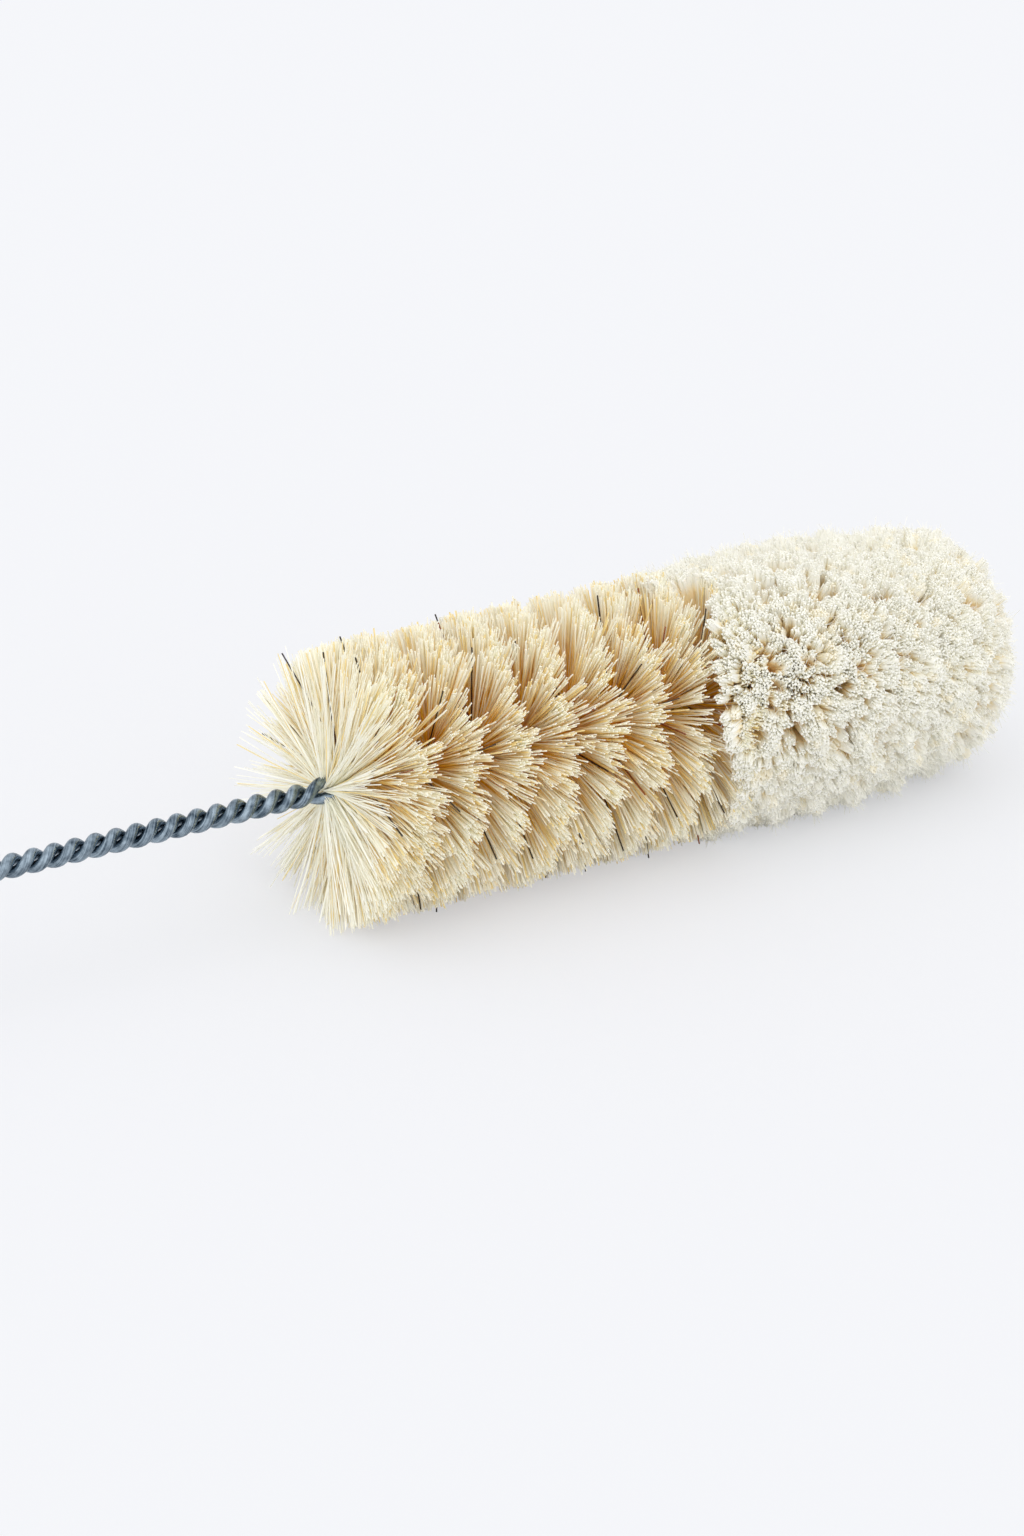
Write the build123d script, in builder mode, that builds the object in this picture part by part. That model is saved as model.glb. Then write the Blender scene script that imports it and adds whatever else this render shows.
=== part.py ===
from build123d import *
from math import acos, atan2, cos, pi, radians, sin, sqrt
import os

# A twisted-wire bottle brush, lying at rest on its head.
# +X runs from the hanging eye to the cotton tip and +Z is up. The origin is on the ground,
# below the middle of the brush's length. All lengths are in millimetres.

# Wire: one length, folded into an eye, with its two legs twisted left-handed round each other
WIRE_DIAMETER = 2.4
STRAND_GAP = 0.2  # between the two legs on the bare stem
STEM_PITCH = 8.8  # length of a full turn on the bare stem
STEM_HALF_TURNS = 33
HEAD_PITCH = 21.5  # length of a full turn where the legs grip the fill
STRAND_SIDES = 6
BENDS_PER_TURN = 8
SPARE_BENDS = 1  # past the head's end, cut off flush there

# Hanging eye: a ring that narrows to the stem like a drop
EYE_INSIDE_DIAMETER = 18.0
EYE_TO_STEM = 22.0  # from the middle of the ring to the first twist
EYE_BENDS = 16

# Fill: laid between the legs, so that it winds along the head as a double helix
FILL_GAP = 1.2  # between the two legs in the head
GRIP_CLEARANCE = 0.35  # on each side of the fill, between the legs
REST_DEPTH = 1.5  # how far the bristles give way under the brush

# Bristles: straight tufts that open out evenly to a flat cut
BRISTLE_DIAMETER = 56.0
BRISTLE_ROWS = 8
BRISTLE_PAIRS_PER_ROW = 12  # each pair of tufts crosses the wire
BRISTLE_TUFT_LENGTH = 6.6  # along the wire, at the tips
BRISTLE_TUFT_WIDTH = 6.6  # round the wire, at the tips

# Cotton: thicker tufts of yarn with blunt, rounded-off ends
COTTON_DIAMETER = 58.0
COTTON_ROWS = 5
COTTON_PAIRS_PER_ROW = 8  # each pair of tufts crosses the wire
COTTON_TUFT_LENGTH = 9.2  # along the wire, at the shoulder
COTTON_TUFT_WIDTH = 8.8  # round the wire, at the shoulder
COTTON_SHOULDER = 4.0  # from the shoulder to the end of a tuft
COTTON_END_SHARE = 0.55  # a tuft's end, as a share of its shoulder

# Cotton tip: the last yarns, fanned forward over the cut ends of the wire
TIP_REACH = 20.0
TIP_KNOT_LENGTH = 4.0
TIP_KNOT_SIDES = 8
TIP_TUFT_SIZE = 8.4
TIP_ROOT_SIZE = 0.6
TIP_ROOT_DISTANCE = 2.0
TIP_RINGS = [(66, 14), (36, 8), (0, 1)]  # degrees off the axis, tufts in the ring

# Worked out from the sizes above
WIRE_RADIUS = WIRE_DIAMETER / 2
STEM_STRAND_RADIUS = (WIRE_DIAMETER + STRAND_GAP) / 2
HEAD_STRAND_RADIUS = (WIRE_DIAMETER + FILL_GAP) / 2
EYE_RADIUS = (EYE_INSIDE_DIAMETER + WIRE_DIAMETER) / 2
ROOT_RADIUS = HEAD_STRAND_RADIUS + WIRE_RADIUS
ROOT_THICKNESS = FILL_GAP - 2 * GRIP_CLEARANCE
ROW_LENGTH = HEAD_PITCH / 2
BENDS_PER_ROW = BENDS_PER_TURN // 2
AXIS_HEIGHT = BRISTLE_DIAMETER / 2 - REST_DEPTH
STEM_LENGTH = STEM_HALF_TURNS * STEM_PITCH / 2
LEAD_IN_LENGTH = (STEM_PITCH + HEAD_PITCH) / 4
HEAD_LENGTH = (BRISTLE_ROWS + COTTON_ROWS) * ROW_LENGTH
EYE_LENGTH = EYE_RADIUS + WIRE_RADIUS + EYE_TO_STEM
TOTAL_LENGTH = EYE_LENGTH + STEM_LENGTH + LEAD_IN_LENGTH + HEAD_LENGTH + TIP_REACH
STEM_START = EYE_LENGTH - TOTAL_LENGTH / 2
HEAD_START = STEM_START + STEM_LENGTH + LEAD_IN_LENGTH
COTTON_START = HEAD_START + BRISTLE_ROWS * ROW_LENGTH
HEAD_END = HEAD_START + HEAD_LENGTH
UP = Vector(0, 0, 1)
FORWARD = Vector(1, 0, 0)


def strand_points(side):
    """Bends of one leg from the eye to just past its cut end; side is 1 or -1."""
    lead_in_shares = [(bend + 0.5) / BENDS_PER_ROW for bend in range(BENDS_PER_ROW)]
    pitches = [STEM_PITCH] * (STEM_HALF_TURNS * BENDS_PER_ROW)
    pitches += [STEM_PITCH + share * (HEAD_PITCH - STEM_PITCH) for share in lead_in_shares]
    pitches += [HEAD_PITCH] * ((BRISTLE_ROWS + COTTON_ROWS) * BENDS_PER_ROW + SPARE_BENDS)
    points = []
    x = STEM_START
    for bend, pitch in enumerate(pitches + [0]):
        past_stem = bend - STEM_HALF_TURNS * BENDS_PER_ROW
        head_share = min(max(past_stem / BENDS_PER_ROW, 0), 1)
        radius = STEM_STRAND_RADIUS + head_share * (HEAD_STRAND_RADIUS - STEM_STRAND_RADIUS)
        bend_radius = radius / cos(pi / BENDS_PER_TURN)
        angle = 2 * pi * bend / BENDS_PER_TURN
        y = side * bend_radius * cos(angle)
        z = AXIS_HEIGHT - side * bend_radius * sin(angle)
        points.append(Vector(x, y, z))
        x += pitch / BENDS_PER_TURN
    return points


def eye_points():
    """Bends round the ring, from where one leg leaves it to where the other does."""
    neck_y = STEM_STRAND_RADIUS
    neck_distance = sqrt(EYE_TO_STEM**2 + neck_y**2)
    leave_angle = atan2(neck_y, EYE_TO_STEM) + acos(EYE_RADIUS / neck_distance)
    sweep_angle = 2 * (pi - leave_angle)
    middle = Vector(STEM_START - EYE_TO_STEM, 0, AXIS_HEIGHT)
    points = []
    for bend in range(EYE_BENDS + 1):
        angle = leave_angle + sweep_angle * bend / EYE_BENDS
        points.append(middle + Vector(EYE_RADIUS * cos(angle), EYE_RADIUS * sin(angle), 0))
    return points


def flared_tuft(foot, stations):
    """One tuft from the plane's origin along its Y, widening or narrowing from station to station.

    A station is a distance from the origin, with the tuft's size there along X and along Z.
    """
    for (start, length, width), (end, end_length, end_width) in zip(stations, stations[1:]):
        overhang = (end_length - length) / 2
        side_overhang = (end_width - width) / 2
        with Locations(foot):
            with Locations((0, start, 0)):
                Wedge(
                    length,
                    end - start,
                    width,
                    -overhang,
                    -side_overhang,
                    length + overhang,
                    width + side_overhang,
                    align=(Align.CENTER, Align.MIN, Align.CENTER),
                )


def fill_row(row_start, pairs, stations):
    """Half a turn of fill: pairs of tufts across the wire, each pair turned on from the last one."""
    for pair in range(pairs):
        row_share = (pair + 0.5) / pairs
        angle = pi * row_share
        middle = Vector(row_start + row_share * ROW_LENGTH, 0, AXIS_HEIGHT)
        outward = Vector(0, sin(angle), cos(angle))
        for direction in (outward, -outward):
            foot = Plane(origin=middle, x_dir=FORWARD, z_dir=FORWARD.cross(direction))
            flared_tuft(foot, stations)
        with Locations(foot):
            Box(ROW_LENGTH / pairs, 2 * ROOT_RADIUS, ROOT_THICKNESS)
    split(bisect_by=Plane.XY, keep=Keep.TOP)


def export_rows(first_row, name, rows):
    """Write one node for each half turn, moved along the wire from the first one."""
    for number in range(rows):
        with BuildPart() as row:
            with Locations((number * ROW_LENGTH, 0, 0)):
                add(first_row)
        row.part.label = f"{name}_{number + 1}"
        export_step(row.part, f"parts/{row.part.label}.step")


os.makedirs("parts", exist_ok=True)

# The wire: a six-sided section carried along one leg, round the eye and back along the other
wire_points = strand_points(1)[::-1] + eye_points() + strand_points(-1)
heading = (wire_points[1] - wire_points[0]).normalized()
section_side = UP.cross(heading).normalized()
with BuildPart() as twisted_wire:
    with BuildLine():
        Polyline(*wire_points)
    with BuildSketch(Plane(origin=wire_points[0], x_dir=section_side, z_dir=heading)):
        RegularPolygon(WIRE_RADIUS, STRAND_SIDES)
    sweep(transition=Transition.RIGHT)
    split(bisect_by=Plane(origin=(HEAD_END, 0, 0), z_dir=FORWARD), keep=Keep.BOTTOM)
twisted_wire.part.label = "twisted_wire"
export_step(twisted_wire.part, "parts/twisted_wire.step")

# The bristles
bristle_stations = [
    (ROOT_RADIUS, ROW_LENGTH / BRISTLE_PAIRS_PER_ROW, ROOT_THICKNESS),
    (BRISTLE_DIAMETER / 2, BRISTLE_TUFT_LENGTH, BRISTLE_TUFT_WIDTH),
]
with BuildPart() as bristle_row:
    fill_row(HEAD_START, BRISTLE_PAIRS_PER_ROW, bristle_stations)
export_rows(bristle_row.part, "bristle_row", BRISTLE_ROWS)

# The cotton yarn
cotton_end_length = COTTON_TUFT_LENGTH * COTTON_END_SHARE
cotton_end_width = COTTON_TUFT_WIDTH * COTTON_END_SHARE
cotton_stations = [
    (ROOT_RADIUS, ROW_LENGTH / COTTON_PAIRS_PER_ROW, ROOT_THICKNESS),
    (COTTON_DIAMETER / 2 - COTTON_SHOULDER, COTTON_TUFT_LENGTH, COTTON_TUFT_WIDTH),
    (COTTON_DIAMETER / 2, cotton_end_length, cotton_end_width),
]
with BuildPart() as cotton_row:
    fill_row(COTTON_START, COTTON_PAIRS_PER_ROW, cotton_stations)
export_rows(cotton_row.part, "cotton_row", COTTON_ROWS)

# The tip: yarns that leave a knot at the wire's end and reach a rounded dome
tip_middle = Vector(HEAD_END, 0, AXIS_HEIGHT)
tip_end_size = TIP_TUFT_SIZE * COTTON_END_SHARE
with BuildPart() as cotton_tip:
    with BuildSketch(Plane(origin=tip_middle, x_dir=(0, 1, 0), z_dir=FORWARD)):
        RegularPolygon(ROOT_RADIUS, TIP_KNOT_SIDES)
    extrude(amount=TIP_KNOT_LENGTH)
    for ring_degrees, tufts in TIP_RINGS:
        lean = radians(ring_degrees)
        reach = 1 / sqrt((cos(lean) / TIP_REACH) ** 2 + (2 * sin(lean) / COTTON_DIAMETER) ** 2)
        tip_stations = [
            (TIP_ROOT_DISTANCE, TIP_ROOT_SIZE, TIP_ROOT_SIZE),
            (reach - COTTON_SHOULDER, TIP_TUFT_SIZE, TIP_TUFT_SIZE),
            (reach, tip_end_size, tip_end_size),
        ]
        for tuft in range(tufts):
            turn = 2 * pi * tuft / tufts
            around = Vector(0, -sin(turn), cos(turn))
            heading = FORWARD * cos(lean) + Vector(0, cos(turn), sin(turn)) * sin(lean)
            foot = Plane(origin=tip_middle, x_dir=around, z_dir=around.cross(heading))
            flared_tuft(foot, tip_stations)
cotton_tip.part.label = "cotton_tip"
export_step(cotton_tip.part, "parts/cotton_tip.step")

head_reach = HEAD_LENGTH + TIP_REACH
print(f"length {TOTAL_LENGTH:.1f} mm, bare stem {STEM_LENGTH:.1f} mm, head {head_reach:.1f} mm")
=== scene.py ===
# %% [markdown]
# # A twisted-wire bottle brush
# A bottle brush is one length of galvanised wire, folded into an eye and twisted round a fill of
# animal bristles and cut cotton yarn. The CAD model has the wire and every half turn of the fill as
# plain solids. This lesson keeps their places and makes what the eye sees: smooth wire, thousands
# of separate hairs and soft yarn ends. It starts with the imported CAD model, which is the frame that
# everything else is measured from.

# %% Load the frame
from math import acos, atan2, pi
import bpy
import numpy as np
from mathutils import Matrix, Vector


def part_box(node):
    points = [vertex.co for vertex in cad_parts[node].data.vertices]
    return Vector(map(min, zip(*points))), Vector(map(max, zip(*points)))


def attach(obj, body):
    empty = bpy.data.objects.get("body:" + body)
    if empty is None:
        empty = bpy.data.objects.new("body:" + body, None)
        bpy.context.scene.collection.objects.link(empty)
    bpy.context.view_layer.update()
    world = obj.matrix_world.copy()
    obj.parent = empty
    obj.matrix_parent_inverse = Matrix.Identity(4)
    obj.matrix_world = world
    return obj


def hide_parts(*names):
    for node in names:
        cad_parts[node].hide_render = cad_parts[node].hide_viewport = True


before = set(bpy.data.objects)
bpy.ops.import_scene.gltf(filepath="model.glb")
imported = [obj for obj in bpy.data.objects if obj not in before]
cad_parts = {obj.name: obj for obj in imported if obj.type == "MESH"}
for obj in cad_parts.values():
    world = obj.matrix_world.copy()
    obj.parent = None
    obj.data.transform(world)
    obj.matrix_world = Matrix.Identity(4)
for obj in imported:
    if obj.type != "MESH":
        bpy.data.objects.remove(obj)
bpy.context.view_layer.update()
print("CAD nodes:", sorted(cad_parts))

# %% [markdown]
# ## Where the brush is
# The wire ends where the head ends, and the rows of fill stand one half turn apart, so the frame
# gives the places along the brush. Only what the boxes of the nodes don't tell, such as the
# thickness of the wire, is written here as a size.

# %% Sizes of the brush
MM = 0.001
WIRE_RADIUS = 1.2 * MM
STEM_STRAND_RADIUS = 1.3 * MM  # from the middle of the twist to the middle of a leg
HEAD_STRAND_RADIUS = 1.8 * MM
STEM_PITCH = 8.8 * MM
STEM_TURNS = 16.5
LEAD_IN_TURNS = 0.5  # between the stem and the head, where the twist opens

wire_low, wire_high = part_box("twisted_wire")
bristle_rows = sorted(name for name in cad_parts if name.startswith("bristle_row"))
cotton_rows = sorted(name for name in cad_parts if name.startswith("cotton_row"))
ROW_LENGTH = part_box(bristle_rows[1])[0].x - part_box(bristle_rows[0])[0].x
HEAD_PITCH = 2 * ROW_LENGTH
HEAD_TURNS = (len(bristle_rows) + len(cotton_rows)) / 2
HEAD_END = wire_high.x
HEAD_START = HEAD_END - HEAD_TURNS * HEAD_PITCH
LEAD_IN_LENGTH = LEAD_IN_TURNS * (STEM_PITCH + HEAD_PITCH) / 2
STEM_START = HEAD_START - LEAD_IN_LENGTH - STEM_TURNS * STEM_PITCH
AXIS_HEIGHT = (wire_low.z + wire_high.z) / 2
print(f"head from {HEAD_START / MM:.1f} to {HEAD_END / MM:.1f} mm, rows every {ROW_LENGTH / MM:.2f} mm")

# %% [markdown]
# ## From arrays to a mesh
# Wire, hair and yarn are all the same kind of surface: a round profile carried along a path. The
# two parameters are the station along the path and the angle round it. Thousands of strands are
# worked out at once, as arrays with one row for each strand, and go into the mesh in one step. A
# loop over vertices would give the same shape, only far more slowly.

# %% Profile along a path
def strand_surface(paths, radii, sides, roll):
    """Tubes round many paths: point = station + radius * (cos a * first + sin a * second).

    paths is (strands, stations, 3) and radii is (strands, stations, sides or 1). The angle a runs
    round the profile, and first and second are the two directions square to the path.
    """
    heading = np.gradient(paths, axis=1)
    heading /= np.linalg.norm(heading, axis=2, keepdims=True)
    chord = np.abs(paths[:, -1] - paths[:, 0])
    reference = np.eye(3)[np.argmin(chord, axis=1)][:, None, :]
    first = np.cross(heading, reference)
    first /= np.linalg.norm(first, axis=2, keepdims=True)
    second = np.cross(heading, first)
    return ring_points(paths, radii, first, second, sides, roll)


def ring_points(paths, radii, first, second, sides, roll):
    """Places the profile's points at each station, in the plane of first and second."""
    angle = roll[:, None, None] + 2 * pi * np.arange(sides) / sides
    across = np.cos(angle)[..., None] * first[:, :, None] + np.sin(angle)[..., None] * second[:, :, None]
    return paths[:, :, None] + radii[..., None] * across


def strand_faces(strands, stations, sides):
    """Index arrays of the walls (four corners each) and of the caps at the tips and the roots."""
    index = np.arange(strands * stations * sides).reshape(strands, stations, sides)
    onward = np.roll(index, -1, axis=2)
    walls = np.stack([index[:, :-1], onward[:, :-1], onward[:, 1:], index[:, 1:]], axis=-1)
    return walls.reshape(-1, 4), index[:, -1], index[:, 0, ::-1]


# %% [markdown]
# ## Maps of a strand
# A finish has to know where on a strand a point is, because hair changes colour along its length.
# So each strand has a map of its own, which runs from root to tip. A second map is for baking: there
# every strand has a separate cell, so that no two strands share a spot of the picture.

# %% Strand map and bake map
BAKE_MARGIN = 0.06  # share of a strand's cell on the bake map that stays empty at its edge
CAP_BAND = 0.16  # share of the cell that holds the two end caps
CAP_SIZE = 0.055
CAP_PLACES = (0.3, 0.7)  # across the cell, for the cap at the tip and the one at the root


def strand_map(strands, shares, sides):
    """UV map of a strand: U runs once round it, V is the share of its length, 0 at the root."""
    u, v = np.meshgrid(np.arange(sides) / sides, shares[:-1])
    du, dv = 1 / sides, np.diff(shares)[:, None]
    walls = np.stack([u, v, u + du, v, u + du, v + dv, u, v + dv], axis=-1).reshape(-1, 2)
    around = np.arange(sides) / sides
    tips = np.stack([around, np.ones(sides)], axis=-1)
    roots = np.stack([around[::-1], np.zeros(sides)], axis=-1)
    return [np.tile(part, (strands, 1, 1)) for part in (walls, tips, roots)]


def bake_map(strands, shares, sides):
    """UV map for baking: each strand has a square cell of its own, with its walls below its caps."""
    walls = strand_map(strands, shares, sides)[0]
    inside = 1 - 2 * BAKE_MARGIN
    walls = BAKE_MARGIN + walls * np.array([inside, inside - CAP_BAND])
    angle = 2 * pi * np.arange(sides) / sides
    cap = CAP_SIZE * np.stack([np.cos(angle), np.sin(angle)], axis=-1)
    cap_height = 1 - BAKE_MARGIN - CAP_SIZE
    caps = [np.tile(cap + np.array([place, cap_height]), (strands, 1, 1)) for place in CAP_PLACES]
    cells = int(np.ceil(np.sqrt(strands)))
    number = np.arange(strands)
    corner = np.stack([number % cells, number // cells], axis=-1)[:, None, :]
    return [(part + corner) / cells for part in (walls, *caps)]


# %% [markdown]
# ## Pieces
# A mesh is filled from whole arrays: the points, the corners of all faces in a row, and the number
# of corners of each face. Adding faces one by one, as bmesh does, is slow for half a million. Every
# piece rides on the one body of the brush, because nothing on it moves.

# %% A piece from arrays
def put_piece(name, points, numbers, faces, maps, smooth=False):
    """Makes a mesh object from whole arrays and lets it ride on the brush; caps are never smooth."""
    mesh = bpy.data.meshes.new(name)
    sizes = np.concatenate([np.full(len(part), part.shape[1]) for part in faces])
    corners = np.concatenate([part.ravel() for part in faces])
    mesh.vertices.add(points.size // 3)
    mesh.vertices.foreach_set("co", points.ravel())
    mesh.loops.add(len(corners))
    mesh.loops.foreach_set("vertex_index", corners)
    mesh.polygons.add(len(sizes))
    mesh.polygons.foreach_set("loop_start", np.cumsum(sizes) - sizes)
    mesh.polygons.foreach_set("use_smooth", smooth & (np.arange(len(sizes)) < len(faces[0])))
    for map_name, parts in maps.items():
        layer = mesh.uv_layers.new(name=map_name)
        layer.uv.foreach_set("vector", np.concatenate([part.ravel() for part in parts]))
    for number_name, values in numbers.items():
        mesh.attributes.new(number_name, "FLOAT", "POINT").data.foreach_set("value", values)
    mesh.update(calc_edges=True)
    mesh.validate()
    piece = bpy.data.objects.new(name, mesh)
    bpy.context.collection.objects.link(piece)
    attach(piece, "root")
    print(f"{name}: {len(mesh.polygons)} faces")
    return piece


def strand_piece(name, points, shares, tone, painted_light):
    """A piece of many strands: points is (strands, stations, sides, 3), tone and pale one number each."""
    strands, stations, sides, _ = points.shape
    faces = strand_faces(strands, stations, sides)
    maps = {"strand": strand_map(strands, shares, sides), "OFBake": bake_map(strands, shares, sides)}
    numbers = {"tone": np.repeat(tone, stations * sides), "painted_light": np.repeat(painted_light, stations * sides)}
    return put_piece(name, points, numbers, faces, maps)


# %% [markdown]
# ## Shared effects
# Two effects come back in several finishes. Every strand of fill is painted a deeper colour at its
# root, a painted shade for the light that hardly reaches it there, and each strand differs a little
# from its neighbours. Drawn wire and spun yarn both have fine lines that run along them. Each
# effect is a node group with named inputs, so that a finish only sets its own colours and sizes.
# The groups put out colours and heights, and the shaders stay in the materials. A few helpers come
# first, to keep them short.

# %% Helpers for nodes
def paint(red, green, blue):
    """A colour as it looks on a screen, 0 to 255, turned into linear light by the sRGB curve."""
    share = np.array([red, green, blue]) / 255
    linear = np.where(share <= 0.04045, share / 12.92, ((share + 0.055) / 1.055) ** 2.4)
    return (*linear.tolist(), 1.0)


def set_inputs(tree, node, links):
    """Fills a node's inputs, each from a value or from another node's socket."""
    for key, value in links.items():
        if isinstance(value, bpy.types.NodeSocket):
            tree.links.new(value, node.inputs[key])
        else:
            node.inputs[key].default_value = value


def add_node(tree, kind, links=None, **settings):
    """Adds a node, sets its properties and fills its inputs."""
    node = tree.nodes.new(kind)
    for key, value in settings.items():
        setattr(node, key, value)
    set_inputs(tree, node, links or {})
    return node


def add_math(tree, operation, *values):
    """Socket with the result of a sum on numbers or other sockets."""
    return add_node(tree, "ShaderNodeMath", dict(enumerate(values)), operation=operation).outputs[0]


def map_range(tree, value, ends, **settings):
    """Socket with value moved from one range to another; ends names their limits, 0 and 1 if left out."""
    return add_node(tree, "ShaderNodeMapRange", {"Value": value, **ends}, **settings).outputs["Result"]


def mix_colours(tree, factor, first, second):
    """Socket with a colour: first where factor is 0, second where it is 1, and between them a mix."""
    links = {"Factor": factor, 6: first, 7: second}
    return add_node(tree, "ShaderNodeMix", links, data_type="RGBA").outputs[2]


def new_group(name, inputs, outputs):
    """An empty node group with named sockets, and its input and output nodes' sockets."""
    group = bpy.data.node_groups.new(name, "ShaderNodeTree")
    for socket, kind in inputs.items():
        group.interface.new_socket(name=socket, in_out="INPUT", socket_type=kind)
    for socket, kind in outputs.items():
        group.interface.new_socket(name=socket, in_out="OUTPUT", socket_type=kind)
    return group, group.nodes.new("NodeGroupInput").outputs, group.nodes.new("NodeGroupOutput").inputs


# %% Group for the colour of a strand
# The place along the strand, plus a shift of the strand's own, leads from the root's colour to the
# tip's; on pale fill the root's colour is painted shade. Pale lifts a strand to the tip's colour
# down to its root, as painted light. A strand's own level then darkens it a little, and a few
# strands take the odd colour.
COLOUR, NUMBER, VECTOR = "NodeSocketColor", "NodeSocketFloat", "NodeSocketVector"
SHIFT_SHUFFLE = 3.77  # these two make new numbers of a strand's own out of its tone
LEVEL_SHUFFLE = 7.31

strand_tone, given, result = new_group(
    "strand_tone",
    {
        **dict.fromkeys(("Along", "Tone", "Pale"), NUMBER),
        **dict.fromkeys(("Root", "Tip", "Odd"), COLOUR),
        **dict.fromkeys(("Gold Until", "Pale From", "Shift", "Spread", "Odd Share"), NUMBER),
    },
    {"Colour": COLOUR},
)
shuffled = add_math(strand_tone, "MULTIPLY", given["Tone"], SHIFT_SHUFFLE)
own_shift = add_math(strand_tone, "FRACT", shuffled)
shifted = add_math(strand_tone, "MULTIPLY_ADD", own_shift, given["Shift"], given["Along"])
paler = map_range(
    strand_tone,
    shifted,
    {"From Min": given["Gold Until"], "From Max": given["Pale From"]},
    interpolation_type="SMOOTHSTEP",
)
palest = add_math(strand_tone, "MAXIMUM", paler, given["Pale"])
along_colour = mix_colours(strand_tone, palest, given["Root"], given["Tip"])
shuffled = add_math(strand_tone, "MULTIPLY", given["Tone"], LEVEL_SHUFFLE)
own_level = add_math(strand_tone, "FRACT", shuffled)
darkest = add_math(strand_tone, "SUBTRACT", 1.0, given["Spread"])
level = map_range(strand_tone, own_level, {"To Min": darkest, "To Max": 1.0})
varied = add_node(strand_tone, "ShaderNodeHueSaturation", {"Value": level, "Color": along_colour})
odd_from = add_math(strand_tone, "SUBTRACT", 1.0, given["Odd Share"])
is_odd = add_math(strand_tone, "GREATER_THAN", given["Tone"], odd_from)
toned = mix_colours(strand_tone, is_odd, varied.outputs["Color"], given["Odd"])
strand_tone.links.new(toned, result["Colour"])
print(f"{strand_tone.name}: {len(strand_tone.nodes)} nodes")

# %% Group for the lines along a strand
# Noise on a cylinder, which has no seam: its place is (round * cos u, round * sin u, along * v).
STRAND_OFFSET = 40.0  # how far strands of different tone lie apart in the noise

fibre_lines, given, result = new_group(
    "fibre_lines",
    {"Place": VECTOR, "Round": NUMBER, "Along": NUMBER, "Tone": NUMBER},
    {"Height": NUMBER},
)
parts = add_node(fibre_lines, "ShaderNodeSeparateXYZ", {"Vector": given["Place"]}).outputs
angle = add_math(fibre_lines, "MULTIPLY", parts["X"], 2 * pi)
cylinder = {
    "X": add_math(fibre_lines, "MULTIPLY", add_math(fibre_lines, "COSINE", angle), given["Round"]),
    "Y": add_math(fibre_lines, "MULTIPLY", add_math(fibre_lines, "SINE", angle), given["Round"]),
    "Z": add_math(fibre_lines, "MULTIPLY", parts["Y"], given["Along"]),
}
line_place = add_node(fibre_lines, "ShaderNodeCombineXYZ", cylinder).outputs[0]
own_place = add_math(fibre_lines, "MULTIPLY", given["Tone"], STRAND_OFFSET)
lines = add_node(
    fibre_lines,
    "ShaderNodeTexNoise",
    {"Vector": line_place, "W": own_place, "Scale": 1.0, "Detail": 3.0},
    noise_dimensions="4D",
)
fibre_lines.links.new(lines.outputs["Fac"], result["Height"])
print(f"{fibre_lines.name}: {len(fibre_lines.nodes)} nodes")

# %% Helpers for materials
BUMP_STRENGTH = 0.3


def new_material(name):
    """A material, its node tree and its Principled shader."""
    material = bpy.data.materials.new(name)
    material.use_nodes = True
    tree = material.node_tree
    shader = next(node for node in tree.nodes if node.type == "BSDF_PRINCIPLED")
    print("finish:", name)
    return material, tree, shader


def add_group(tree, group, links):
    """Places a node group in a material, with this material's own values, and gives its output."""
    return add_node(tree, "ShaderNodeGroup", links, node_tree=group).outputs[0]


def strand_place(tree):
    """The place on a strand, from the strand map: X round it and Y along it."""
    return add_node(tree, "ShaderNodeUVMap", uv_map="strand").outputs["UV"]


def strand_number(tree, name):
    """A number that each strand has of its own: its tone, or its painted light down to the root."""
    return add_node(tree, "ShaderNodeAttribute", attribute_name=name).outputs["Fac"]


def fill_colour(tree, colours):
    """Colour along a strand of bristle or cotton, from this finish's own colours."""
    along = add_node(tree, "ShaderNodeSeparateXYZ", {"Vector": strand_place(tree)}).outputs["Y"]
    numbers = {"Along": along, "Tone": strand_number(tree, "tone"), "Pale": strand_number(tree, "painted_light")}
    return add_group(tree, strand_tone, {**numbers, **colours})


def lines_along(tree, around, along):
    """Height of the fine lines on a strand; larger numbers put more of them round it and along it."""
    numbers = {"Round": around, "Along": along, "Tone": strand_number(tree, "tone")}
    return add_group(tree, fibre_lines, {"Place": strand_place(tree), **numbers})


def add_bump(tree, height, distance):
    """Normal of a surface with this height on it; distance is what a height of 1 stands for."""
    links = {"Strength": BUMP_STRENGTH, "Distance": distance, "Height": height}
    return add_node(tree, "ShaderNodeBump", links).outputs["Normal"]


# %% [markdown]
# ## The twisted wire
# The maker folds one wire at its middle and twists the two legs together, tightly on the bare stem
# and more openly where they grip the fill. A curve with a bevel could draw it, but a helix is a
# plain formula: each leg circles the brush's axis while it moves along, and the pitch grows in the
# half turn before the head. The eye is an arc with two straight runs to the stem. Where the runs
# meet the twist a real wire bends gradually, so the path is averaged there.

# %% Path of the wire
STATIONS_PER_TURN = 20
EYE_RADIUS = 10.2 * MM
EYE_TO_STEM = 22.0 * MM
EYE_MIDDLE = np.array([STEM_START - EYE_TO_STEM, 0, AXIS_HEIGHT])
EYE_STATIONS = 72
RUN_STATIONS = 28
NECK_LENGTH = 6.0 * MM  # how far on either side of the stem's start the path is averaged
NECK_WINDOW = 9  # stations that are averaged


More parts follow.
